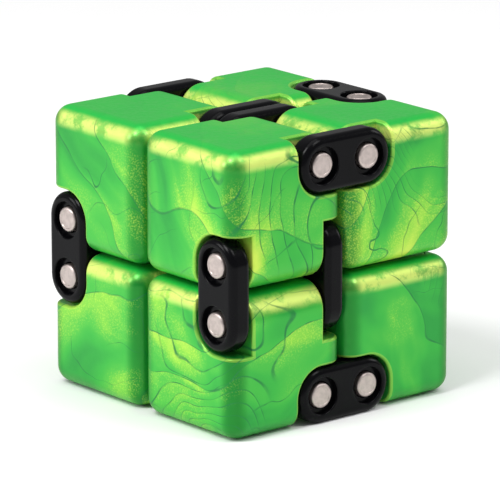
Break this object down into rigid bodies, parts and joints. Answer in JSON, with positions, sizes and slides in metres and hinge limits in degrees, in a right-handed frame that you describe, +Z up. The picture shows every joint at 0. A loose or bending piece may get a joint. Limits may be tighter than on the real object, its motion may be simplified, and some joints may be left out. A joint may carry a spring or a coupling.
{
  "type": "folding fidget cube",
  "caption": "Folding cube desk toy: marbled green plastic cubelets joined edge to edge in a closed ring by black link plates on steel pins.",
  "frame": {"origin": "under the centre of the closed cube, on the plane it stands on", "axes": "+X right, towards the edge that the cube opens about; +Y back; +Z up"},
  "size_m": [0.0402, 0.0402, 0.0402],
  "materials": {
    "green_plastic": "glossy pearl plastic printed with lime and dark green marbling",
    "black_plastic": "satin black moulded plastic",
    "steel": "bright turned steel pin ends"
  },
  "bodies": {
    "front_half": {"cover_lower_front_left": "green_plastic", "cover_lower_front_right": "green_plastic", "cover_upper_front_left": "green_plastic", "cover_upper_front_right": "green_plastic", "link_left_front_inner": "black_plastic", "link_left_front_outer": "black_plastic", "link_lower_front_inner": "black_plastic", "link_lower_front_outer": "black_plastic", "link_upper_front_inner": "black_plastic", "link_upper_front_outer": "black_plastic", "pin_left_front_lower": "steel", "pin_left_front_upper": "steel", "pin_lower_front_left": "steel", "pin_lower_front_right": "steel", "pin_upper_front_left": "steel", "pin_upper_front_right": "steel", "shell_lower_front_left": "green_plastic", "shell_lower_front_right": "green_plastic", "shell_upper_front_left": "green_plastic", "shell_upper_front_right": "green_plastic"},
    "right_hinges": {"link_lower_right_inner": "black_plastic", "link_lower_right_outer": "black_plastic", "link_upper_right_inner": "black_plastic", "link_upper_right_outer": "black_plastic", "pin_lower_right_back": "steel", "pin_lower_right_front": "steel", "pin_upper_right_back": "steel", "pin_upper_right_front": "steel"},
    "back_half": {"cover_lower_back_left": "green_plastic", "cover_lower_back_right": "green_plastic", "cover_upper_back_left": "green_plastic", "cover_upper_back_right": "green_plastic", "link_left_back_inner": "black_plastic", "link_left_back_outer": "black_plastic", "link_lower_back_inner": "black_plastic", "link_lower_back_outer": "black_plastic", "link_upper_back_inner": "black_plastic", "link_upper_back_outer": "black_plastic", "pin_left_back_lower": "steel", "pin_left_back_upper": "steel", "pin_lower_back_left": "steel", "pin_lower_back_right": "steel", "pin_upper_back_left": "steel", "pin_upper_back_right": "steel", "shell_lower_back_left": "green_plastic", "shell_lower_back_right": "green_plastic", "shell_upper_back_left": "green_plastic", "shell_upper_back_right": "green_plastic"}
  },
  "joints": [
    {"name": "right_front_pivot", "type": "hinge", "parent": "front_half", "child": "right_hinges", "pos_m": [0.01615, -0.0041, 0.0201], "axis": [0, 0, -1], "range_deg": [0, 90]},
    {"name": "right_back_pivot", "type": "hinge", "parent": "right_hinges", "child": "back_half", "pos_m": [0.01615, 0.0041, 0.0201], "axis": [0, 0, -1], "range_deg": [0, 90]}
  ]
}
